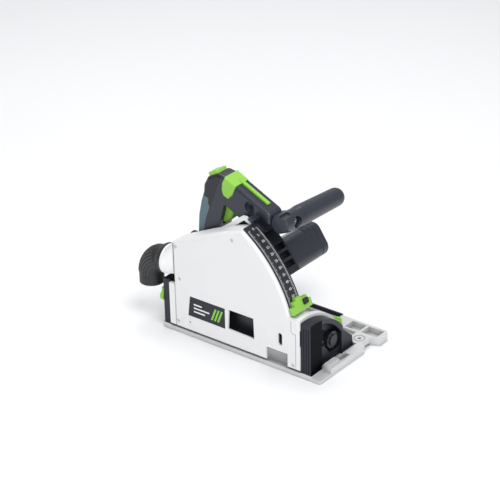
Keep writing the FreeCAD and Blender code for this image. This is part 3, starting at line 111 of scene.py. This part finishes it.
def mottle(tree, value, colour, spread):
    """Colour drifting a little lighter and darker with a 0 to 1 value."""
    dark = tuple(max(0.0, c * (1 - spread)) for c in colour)
    light = tuple(min(1.0, c * (1 + spread)) for c in colour)
    return mix(tree, value, dark, light)


def soft_edges(tree, radius=0.5 * MM):
    """Normal that rounds every sharp edge by a small radius."""
    node = tree.nodes.new("ShaderNodeBevel")
    node.samples = 4
    node.inputs["Radius"].default_value = radius
    return node.outputs["Normal"]


def edge_wear(tree, rounded_normal):
    """0 on flat skin, rising to 1 where the rounded normal leans away from the flat one."""
    plain = tree.nodes.new("ShaderNodeNewGeometry")
    dot = tree.nodes.new("ShaderNodeVectorMath")
    dot.operation = "DOT_PRODUCT"
    tree.links.new(plain.outputs["Normal"], dot.inputs[0])
    tree.links.new(rounded_normal, dot.inputs[1])
    full_wear = 0.75
    return remap(tree, dot.outputs["Value"], 1, 0, full_wear, 1)


def closeness(tree, reach, most):
    """0 on open skin, rising to the given value where surfaces meet closely."""
    node = tree.nodes.new("ShaderNodeAmbientOcclusion")
    node.samples = 8
    node.inputs["Distance"].default_value = reach
    return remap(tree, node.outputs["AO"], most, 0, 0.2, 0.85)


def painted_crevice_shade(tree, reach, colour):
    """Painted shade: darker tone in corners and pockets."""
    return mix(tree, closeness(tree, reach, 0.5), colour, PAINTED_CORNER_SHADE)


def painted_sheen_shade(tree, reach, shader):
    """Painted shade: take the sheen off a dark skin in its corners and pockets, so they read darker."""
    open_sheen, most_lost = 0.4, 0.38
    sheen = math_node(tree, "SUBTRACT", open_sheen, closeness(tree, reach, most_lost))
    tree.links.new(sheen, shader.inputs["Specular IOR Level"])


def relief(tree, value, shader, height, strength=0.3, radius=0.5 * MM):
    """Fine bump on top of softened edges; gives back the softened normal."""
    normal = soft_edges(tree, radius)
    node = tree.nodes.new("ShaderNodeBump")
    node.inputs["Distance"].default_value = height
    node.inputs["Strength"].default_value = strength
    tree.links.new(value, node.inputs["Height"])
    tree.links.new(normal, node.inputs["Normal"])
    tree.links.new(node.outputs["Normal"], shader.inputs["Normal"])
    return normal


# ---------------------------------------------------------------- materials

def plastic(name, colour, roughness=0.45, grain=2200, spread=0.06, wear=0.35, edge=0.5 * MM):
    """Moulded plastic: spark-eroded grain, slow drift of tone, gloss and paler rubbed edges."""
    material, tree, shader = new_material(name)
    place = coordinates(tree)
    drift = noise(tree, place, 35, 3)
    fine = noise(tree, place, grain, 1)
    normal = relief(tree, fine, shader, 0.06 * MM, radius=edge)
    rubbed = math_node(tree, "MULTIPLY", edge_wear(tree, normal), remap(tree, drift, 0.2 * wear, wear))
    pale = tuple(min(1.0, c * 1.5 + 0.03) for c in colour)
    tree.links.new(mix(tree, rubbed, mottle(tree, drift, colour, spread), pale), shader.inputs["Base Color"])
    tree.links.new(remap(tree, fine, roughness - 0.07, roughness + 0.07), shader.inputs["Roughness"])
    return material


def rubber(name, colour):
    """Soft grip: small raised dots in rows over a matt skin."""
    material, tree, shader = new_material(name)
    place = coordinates(tree)
    cells = tree.nodes.new("ShaderNodeTexVoronoi")
    cells.inputs["Scale"].default_value = 420
    cells.inputs["Randomness"].default_value = 0.15
    tree.links.new(place, cells.inputs["Vector"])
    dots = remap(tree, cells.outputs["Distance"], 1, 0, 0.15, 0.5)
    tree.links.new(mottle(tree, noise(tree, place, 40, 3), colour, 0.16), shader.inputs["Base Color"])
    tree.links.new(remap(tree, dots, 0.72, 0.55, 0, 1), shader.inputs["Roughness"])
    relief(tree, dots, shader, 0.35 * MM, 0.8)
    return material


def steel(name, colour, roughness=0.3, stretch=(1, 30, 1), grain=260):
    """Bare metal with fine marks drawn out along one axis."""
    material, tree, shader = new_material(name)
    shader.inputs["Metallic"].default_value = 1
    marks = noise(tree, coordinates(tree, stretch), grain, 4)
    tree.links.new(mottle(tree, marks, colour, 0.12), shader.inputs["Base Color"])
    tree.links.new(remap(tree, marks, roughness - 0.08, roughness + 0.1), shader.inputs["Roughness"])
    relief(tree, marks, shader, 0.04 * MM, 0.2, 0.25 * MM)
    return material


def casting(name, colour, metallic=0.0, roughness=0.45, wear=0.3):
    """Casting with a pebbled skin and brighter edges; pale ones get painted shade and dark ones a painted
    loss of sheen in their corners.
    """
    material, tree, shader = new_material(name)
    shader.inputs["Metallic"].default_value = metallic
    place = coordinates(tree)
    pebble = noise(tree, place, 900, 3)
    drift = noise(tree, place, 25, 2)
    normal = relief(tree, pebble, shader, 0.12 * MM, 0.25, 0.7 * MM)
    rubbed = math_node(tree, "MULTIPLY", edge_wear(tree, normal), wear)
    pale = tuple(min(1.0, c * 1.4 + 0.04) for c in colour)
    skin = mottle(tree, drift, colour, 0.04)
    shown = mix(tree, rubbed, skin, pale)
    pale_casting = max(colour) > 0.3
    if pale_casting:
        # painted shade in the corners and pockets of pale castings
        shown = painted_crevice_shade(tree, 12 * MM, shown)
    else:
        # painted shade: dark castings lose sheen in their corners and pockets
        painted_sheen_shade(tree, 30 * MM, shader)
    tree.links.new(shown, shader.inputs["Base Color"])
    tree.links.new(remap(tree, pebble, roughness - 0.06, roughness + 0.1), shader.inputs["Roughness"])
    return material


def bracket_casting():
    """Dark coated bracket whose upright front skin is painted deep black with lower sheen, as painted shade
    of a recess.
    """
    material = casting("bracket_dark", (0.011, 0.013, 0.022), 0.0, 0.40, 0.6)
    tree = material.node_tree
    shader = tree.nodes["Principled BSDF"]
    split = tree.nodes.new("ShaderNodeSeparateXYZ")
    tree.links.new(coordinates(tree), split.inputs["Vector"])
    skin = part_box("front_bevel_bracket")[1][0] - 0.6 * MM
    # painted shade: the upright front skin is coloured deep black and loses sheen
    front = math_node(tree, "GREATER_THAN", split.outputs["X"], skin)
    colour, sheen = shader.inputs["Base Color"], shader.inputs["Specular IOR Level"]
    tree.links.new(mix(tree, front, colour.links[0].from_socket, PAINTED_RECESS_SHADE), colour)
    shade_sheen_loss = math_node(tree, "MULTIPLY", front, 0.36)
    tree.links.new(math_node(tree, "SUBTRACT", sheen.links[0].from_socket, shade_sheen_loss), sheen)
    return material


def between(tree, value, low, high):
    """1 where low < value < high, else 0."""
    return math_node(tree, "MULTIPLY", math_node(tree, "GREATER_THAN", value, low),
                     math_node(tree, "LESS_THAN", value, high))


def guard_casting():
    """White guard casting: painted shade on the inner walls and on the flange face behind the bracket's slot.
    """
    material, tree, shader = new_material("guard_white")
    place = coordinates(tree)
    pebble = noise(tree, place, 900, 3)
    skin = mottle(tree, noise(tree, place, 25, 2), (0.80, 0.80, 0.80), 0.03)
    split = tree.nodes.new("ShaderNodeSeparateXYZ")
    tree.links.new(place, split.inputs["Vector"])
    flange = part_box("front_bevel_bracket")[0][0]
    on_flange = math_node(tree, "GREATER_THAN", split.outputs["X"], flange - 0.4 * MM)
    slot_inner, slot_outer = 50 * MM, 74 * MM
    slot = math_node(tree, "MULTIPLY", on_flange, ring_mask(tree, split, slot_inner, slot_outer))
    # painted shade: inner walls and the flange face behind the bracket's slot are coloured dark
    dark = math_node(tree, "MAXIMUM", inner_wall_shade_mask(tree, place, split), slot)
    relief(tree, pebble, shader, 0.12 * MM, 0.25, 0.7 * MM)
    shown = painted_crevice_shade(tree, 9 * MM, mix(tree, dark, skin, PAINTED_GUARD_SHADE))
    tree.links.new(shown, shader.inputs["Base Color"])
    tree.links.new(remap(tree, pebble, 0.36, 0.5), shader.inputs["Roughness"])
    return material


def inner_wall_shade_mask(tree, place, split):
    """1 on faces that look towards the spindle, between cover and inner wall and below the strap; there the
    guard is painted shaded.
    """
    spindle = JOINTS["blade_spin"]["pos_m"]
    towards = tree.nodes.new("ShaderNodeVectorMath")
    towards.operation = "SUBTRACT"
    towards.inputs[0].default_value = (spindle[0], spindle[1], spindle[2])
    tree.links.new(place, towards.inputs[1])
    facing = tree.nodes.new("ShaderNodeNewGeometry")
    inward = tree.nodes.new("ShaderNodeVectorMath")
    inward.operation = "DOT_PRODUCT"
    tree.links.new(towards.outputs["Vector"], inward.inputs[0])
    tree.links.new(facing.outputs["Normal"], inward.inputs[1])
    walls = math_node(tree, "GREATER_THAN", inward.outputs["Value"], 2 * MM)
    cover_back, wall_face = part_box("guard_cover")[1][1], 9.5 * MM
    inside = math_node(tree, "MULTIPLY", walls, between(tree, split.outputs["Y"], cover_back, wall_face))
    strap_slope, strap_foot = 0.44, 190 * MM
    height = math_node(tree, "SUBTRACT", split.outputs["Z"],
                       math_node(tree, "MULTIPLY", split.outputs["X"], strap_slope))
    return math_node(tree, "MULTIPLY", inside, math_node(tree, "LESS_THAN", height, strap_foot))


def ring_mask(tree, split, inner, outer):
    """1 between two radii from the bevel axis."""
    side = math_node(tree, "SUBTRACT", split.outputs["Y"], JOINTS["bevel_tilt"]["pos_m"][1])
    square = math_node(tree, "ADD", math_node(tree, "MULTIPLY", side, side),
                       math_node(tree, "MULTIPLY", split.outputs["Z"], split.outputs["Z"]))
    return between(tree, math_node(tree, "SQRT", square), inner, outer)


def blade_coating():
    """Ground plate coloured dark as painted shade from the guard, fine turning rings and bare carbide tips at
    the rim.
    """
    material, tree, shader = new_material("blade_steel")
    place = coordinates(tree)
    hub = JOINTS["blade_spin"]["pos_m"]
    reach = tree.nodes.new("ShaderNodeVectorMath")
    reach.operation = "DISTANCE"
    reach.inputs[1].default_value = (hub[0], hub[1], hub[2])
    tree.links.new(place, reach.inputs[0])
    radians_per_metre = 9000
    rings = math_node(tree, "SINE", math_node(tree, "MULTIPLY", reach.outputs["Value"], radians_per_metre))
    drift = noise(tree, place, 60, 3)
    tooth_root = 76.5 * MM
    rim = math_node(tree, "GREATER_THAN", reach.outputs["Value"], tooth_root)
    # painted shade: the plate is coloured dark because the guard shades it
    plate = mottle(tree, drift, (0.050, 0.052, 0.058), 0.2)
    shader.inputs["Metallic"].default_value = 0.8
    tree.links.new(mix(tree, rim, plate, (0.42, 0.42, 0.43)), shader.inputs["Base Color"])
    tree.links.new(remap(tree, drift, 0.3, 0.45), shader.inputs["Roughness"])
    relief(tree, rings, shader, 0.02 * MM, 0.3, 0.15 * MM)
    return material


def printed(name, colour):
    """Printed ink, very slightly uneven."""
    material, tree, shader = new_material(name)
    tone = noise(tree, coordinates(tree), 700, 2)
    tree.links.new(mottle(tree, tone, colour, 0.08), shader.inputs["Base Color"])
    tree.links.new(remap(tree, tone, 0.4, 0.55), shader.inputs["Roughness"])
    return material


LOOKS = {
    "base_casting": casting("base_casting", (0.63, 0.63, 0.63), 0.15, 0.42),
    "guard_white": guard_casting(),
    "cover_white": plastic("cover_white", (0.78, 0.78, 0.78), 0.42, spread=0.02, wear=0.5),
    "bracket_dark": bracket_casting(),
    "housing_dark": plastic("housing_dark", (0.022, 0.026, 0.040), 0.32, spread=0.12, wear=0.6,
                            edge=1.4 * MM),
    "bumper_dark": plastic("bumper_dark", (0.009, 0.010, 0.014), 0.35, spread=0.12),
    "green_plastic": plastic("green_plastic", (0.26, 0.55, 0.06), 0.32),
    "grip_rubber": rubber("grip_rubber", (0.11, 0.165, 0.195)),
    "hose_black": plastic("hose_black", (0.016, 0.016, 0.017), 0.5, 900),
    "label_black": plastic("label_black", (0.006, 0.007, 0.015), 0.5),
    "scale_black": plastic("scale_black", (0.012, 0.013, 0.019), 0.45),
    "gear_case": casting("gear_case", (0.010, 0.012, 0.018), 0.0, 0.42),
    "steel_zinc": steel("steel_zinc", (0.62, 0.63, 0.65), 0.3),
    "steel_black": steel("steel_black", (0.05, 0.05, 0.055), 0.4),
    "steel_ground": steel("steel_ground", (0.66, 0.66, 0.67), 0.22),
    "blade_steel": blade_coating(),
    "spring_steel": steel("spring_steel", (0.30, 0.31, 0.33), 0.35),
    "bearing_steel": steel("bearing_steel", (0.75, 0.75, 0.77), 0.12),
    "copper": steel("copper", (0.72, 0.35, 0.18), 0.25),
    "lamination": steel("lamination", (0.25, 0.25, 0.27), 0.4, (1, 90, 1), 500),
    "carbon": plastic("carbon", (0.03, 0.03, 0.03), 0.6),
    "board_green": plastic("board_green", (0.02, 0.08, 0.03), 0.4),
}
# painted highlight: ribs a lighter black than the hose they stand on
RIB_PAINTED_HIGHLIGHT = plastic("rib_painted_highlight", (0.05, 0.05, 0.052), 0.45, 900)
INK_GREY = printed("ink_grey", (0.20, 0.20, 0.21))
INK_WHITE = printed("ink_white", (0.78, 0.78, 0.78))
INK_GREEN = printed("ink_green", (0.22, 0.55, 0.05))


def paint_nodes():
    """Give each CAD node the look of its slot; the cover's screws are bright, unlike the other black ones."""
    slots = {part["node"]: part["material_slot"] for part in frame["record"]["subparts"]}
    for node, item in frame["nodes"].items():
        item.data.materials.clear()
        item.data.materials.append(LOOKS["steel_zinc" if node == "cover_screws" else slots[node]])


# ---------------------------------------------------------------- added pieces

def add_piece(name, mesh_or_curve, material, body):
    item = bpy.data.objects.new(name, mesh_or_curve)
    bpy.context.scene.collection.objects.link(item)
    item.data.materials.append(material)
    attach(item, body)
    return item


def bar_mesh(name, bars):
    """One mesh of thin boxes; each is a middle, three half-edge vectors."""
    shape = bmesh.new()
    for middle, *halves in bars:
        corners = []
        for a in (-1, 1):
            for b in (-1, 1):
                for c in (-1, 1):
                    corners.append(shape.verts.new(middle + a * halves[0] + b * halves[1] + c * halves[2]))
        for face in ((0, 1, 3, 2), (4, 6, 7, 5), (0, 4, 5, 1), (2, 3, 7, 6), (0, 2, 6, 4), (1, 5, 7, 3)):
            shape.faces.new([corners[index] for index in face])
    bmesh.ops.recalc_face_normals(shape, faces=shape.faces)
    mesh = bpy.data.meshes.new(name)
    shape.to_mesh(mesh)
    shape.free()
    return mesh


def elbow_ribs():
    """Raised ribs that run lengthwise round the outside of the hose elbow, coloured lighter than the hose as
    a painted highlight.
    """
    swivel = Vector(JOINTS["elbow_swivel"]["pos_m"])
    spigot = Vector(MOUNTS["hose_spigot"]["pos_m"])
    radius = MOUNTS["hose_spigot"]["dims"]["r_mm"] * MM
    bend = swivel.x - spigot.x
    centre = Vector((swivel.x, swivel.y, swivel.z - bend))
    curve = bpy.data.curves.new("elbow_ribs", "CURVE")
    curve.dimensions = "3D"
    curve.bevel_depth = 1.0 * MM
    curve.bevel_resolution = 2
    curve.use_fill_caps = True
    steps, ribs = 16, 17
    for index in range(ribs):
        around = math.radians(-112 + 224 * index / (ribs - 1))
        reach = bend + radius * math.cos(around)
        start, end = math.radians(22), math.radians(86)
        spline = curve.splines.new("POLY")
        spline.points.add(steps)
        for step in range(steps + 1):
            turn = start + (end - start) * step / steps
            out = Vector((-math.sin(turn), 0, math.cos(turn)))
            spot = centre + out * reach + Vector((0, radius * math.sin(around), 0))
            spline.points[step].co = (*spot, 1)
    add_piece("elbow_ribs", curve, RIB_PAINTED_HIGHLIGHT, "hose_elbow")


SCALE_START, SCALE_END = math.radians(21), math.radians(54)
SCALE_UNITS = 55


def scale_directions(share):
    """Outward and upward directions on the depth scale, a share of the way from its foot to its top."""
    angle = SCALE_START + (SCALE_END - SCALE_START) * share
    return Vector((math.cos(angle), 0, math.sin(angle))), Vector((-math.sin(angle), 0, math.cos(angle)))


def scale_band():
    """Curved depth scale: a line along each edge, a tick every unit and a numeral every five."""
    pivot = Vector(JOINTS["plunge"]["pos_m"])
    low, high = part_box("depth_scale")
    corners = frame["nodes"]["depth_scale"].data.vertices
    radius = max(math.hypot(corner.co.x - pivot.x, corner.co.z - pivot.z) for corner in corners)
    ink, proud = 0.06 * MM, 0.02 * MM
    bars = []
    for unit in range(SCALE_UNITS + 1):
        out, along = scale_directions(unit / SCALE_UNITS)
        length = 2.0 if unit % 5 == 0 else 1.1
        for edge, side in ((low[1] + 1.2 * MM, 1), (high[1] - 3.2 * MM, -1)):
            middle = pivot + out * (radius + proud)
            middle.y = edge + side * length * MM
            bars.append((middle, out * ink, along * 0.18 * MM, Vector((0, length * MM, 0))))
    pieces = 2 * SCALE_UNITS
    half_step = radius * (SCALE_END - SCALE_START) / (2 * pieces)
    for edge in (low[1] + 0.9 * MM, high[1] - 2.9 * MM):
        for index in range(pieces):
            out, along = scale_directions((index + 0.5) / pieces)
            middle = pivot + out * (radius + proud)
            middle.y = edge
            bars.append((middle, out * ink, along * half_step, Vector((0, 0.16 * MM, 0))))
    add_piece("scale_marks", bar_mesh("scale_marks", bars), INK_WHITE, "tilt_frame")
    middle_line = (low[1] + high[1]) / 2 + 0.5 * MM
    for count in range(SCALE_UNITS // 5 + 1):
        figure = str(SCALE_UNITS - 5 * count)
        numeral(f"scale_numeral_{count}", figure, pivot, radius, 5 * count / SCALE_UNITS, middle_line)


def numeral(name, figure, pivot, radius, share, side):
    """Plain figure lying on the scale band, read from the front."""
    curve = bpy.data.curves.new(name, "FONT")
    curve.body = figure
    curve.size = 5.4 * MM
    curve.extrude = 0.05 * MM
    curve.align_x = "CENTER"
    curve.align_y = "CENTER"
    item = add_piece(name, curve, INK_WHITE, "tilt_frame")
    out, up = scale_directions(share)
    across = up.cross(out)
    spot = pivot + out * (radius + 0.04 * MM)
    spot.y = side
    place = Matrix((across, up, out)).transposed().to_4x4()
    place.translation = spot
    item.matrix_world = place


def bevel_marks():
    """Degree marks round the arc slot on the front bracket."""
    axis = Vector(JOINTS["bevel_tilt"]["pos_m"])
    stud = Vector(JOINTS["front_clamp_turn"]["pos_m"]) - axis
    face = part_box("front_bevel_bracket")[0][0] + 3.7 * MM
    start = math.atan2(stud.z, stud.y)
    inner = math.hypot(stud.y, stud.z) - 9.5 * MM
    bars = []
    for index in range(10):  # every five degrees
        angle = start + math.radians(5 * index)
        out = Vector((0, math.cos(angle), math.sin(angle)))
        along = Vector((0, -math.sin(angle), math.cos(angle)))
        length = 2.4 if index % 3 == 0 else 1.5
        middle = axis + out * (inner - length * MM)
        middle.x = face
        bars.append((middle, Vector((0.08 * MM, 0, 0)), along * 0.25 * MM, out * length * MM))
    add_piece("bevel_marks", bar_mesh("bevel_marks", bars), INK_WHITE, "base")


def label_print():
    """Plain stripes on the label in place of any mark."""
    low, high = (Vector(corner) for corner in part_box("label_plate"))
    wide, tall = high.x - low.x, high.z - low.z
    skin = Vector((0, 0.06 * MM, 0))
    face = low.y - 0.02 * MM
    bars = []
    for share, length in ((0.30, 0.30), (0.48, 0.42), (0.66, 0.22)):
        middle = Vector((low.x + wide * (0.16 + length / 2), face, low.z + tall * share))
        bars.append((middle, skin, Vector((wide * length / 2, 0, 0)), Vector((0, 0, tall * 0.035))))
    add_piece("label_lines", bar_mesh("label_lines", bars), INK_WHITE, "tilt_frame")
    slanted = []
    for index in range(3):
        middle = Vector((low.x + wide * (0.70 + 0.085 * index), face, low.z + tall * 0.5))
        rise = Vector((tall * 0.12, 0, tall * 0.3))
        slanted.append((middle, skin, rise, Vector((wide * 0.024, 0, 0))))
    add_piece("label_stripes", bar_mesh("label_stripes", slanted), INK_GREEN, "tilt_frame")


def cover_seam():
    """Joint line between cover and front flange; above the shoulder it steps back onto the cover."""
    low, high = (Vector(corner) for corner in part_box("guard_cover"))
    front, back = high.x, high.x - 7.6 * MM
    shoulder, knee = 65.5 * MM, 68 * MM
    corners = [(back, 85 * MM), (back, knee), (front - 4.5 * MM, shoulder), (front, shoulder),
               (front, low.z + 2 * MM)]
    bars = []
    for (start_x, start_z), (end_x, end_z) in zip(corners, corners[1:]):
        run = Vector((end_x - start_x, 0, end_z - start_z)) / 2
        across = run.cross(Vector((0, 1, 0))).normalized() * 0.35 * MM
        middle = Vector(((start_x + end_x) / 2, low.y, (start_z + end_z) / 2))
        bars.append((middle, run, across, Vector((0, 0.03 * MM, 0))))
    add_piece("cover_seam", bar_mesh("cover_seam", bars), INK_GREY, "tilt_frame")


# ---------------------------------------------------------------- stage

def studio():
    """Pale floor, bright surroundings and three soft lamps aimed at the saw's middle."""
    bpy.ops.mesh.primitive_plane_add(size=8, location=(0, 0, -0.0005))
    floor = bpy.context.object
    floor.name = "studio_floor"
    material, tree, shader = new_material("studio_floor")
    tone = noise(tree, coordinates(tree), 3, 2)
    tree.links.new(mottle(tree, tone, (0.90, 0.90, 0.91), 0.01), shader.inputs["Base Color"])
    shader.inputs["Roughness"].default_value = 0.8
    floor.data.materials.append(material)
    world = bpy.data.worlds.new("studio")
    bpy.context.scene.world = world
    world.use_nodes = True
    world.node_tree.nodes["Background"].inputs["Color"].default_value = (0.96, 0.98, 1, 1)
    world.node_tree.nodes["Background"].inputs["Strength"].default_value = 0.55
    lamps = [("key", (0.9, -0.5, 1.9), 0.9, 22),
             ("fill", (1.5, -1.9, 0.7), 1.0, 13),
             ("top", (-0.7, 0.7, 1.9), 1.4, 16)]
    for name, spot, width, power in lamps:
        lamp = bpy.data.lights.new(name, "AREA")
        lamp.size = width
        lamp.energy = power
        holder = bpy.data.objects.new(name, lamp)
        holder.location = spot
        aim = Vector((0, 0.02, 0.1)) - Vector(spot)
        holder.rotation_euler = aim.to_track_quat("-Z", "Y").to_euler()
        bpy.context.scene.collection.objects.link(holder)
    bpy.context.scene.view_settings.view_transform = "Standard"


def camera():
    """Long lens from the front right and above."""
    turn, tilt, roll = (math.radians(angle) for angle in (36.85, 27.09, -0.46))
    back = Vector((math.sin(turn) * math.cos(tilt), -math.cos(turn) * math.cos(tilt), math.sin(tilt)))
    level = Vector((math.cos(turn), math.sin(turn), 0))
    rise = back.cross(level)
    right = level * math.cos(roll) + rise * math.sin(roll)
    up = rise * math.cos(roll) - level * math.sin(roll)
    lens = bpy.data.cameras.new("photo_view")
    lens.lens = 129.6
    lens.sensor_width = 36
    lens.shift_x = -0.1
    view = bpy.data.objects.new("photo_view", lens)
    place = Matrix((right, up, back)).transposed().to_4x4()
    place.translation = (1.3592, -1.6913, 1.2673)
    view.matrix_world = place
    bpy.context.scene.collection.objects.link(view)
    bpy.context.scene.camera = view


paint_nodes()
elbow_ribs()
scale_band()
bevel_marks()
label_print()
cover_seam()
studio()
camera()
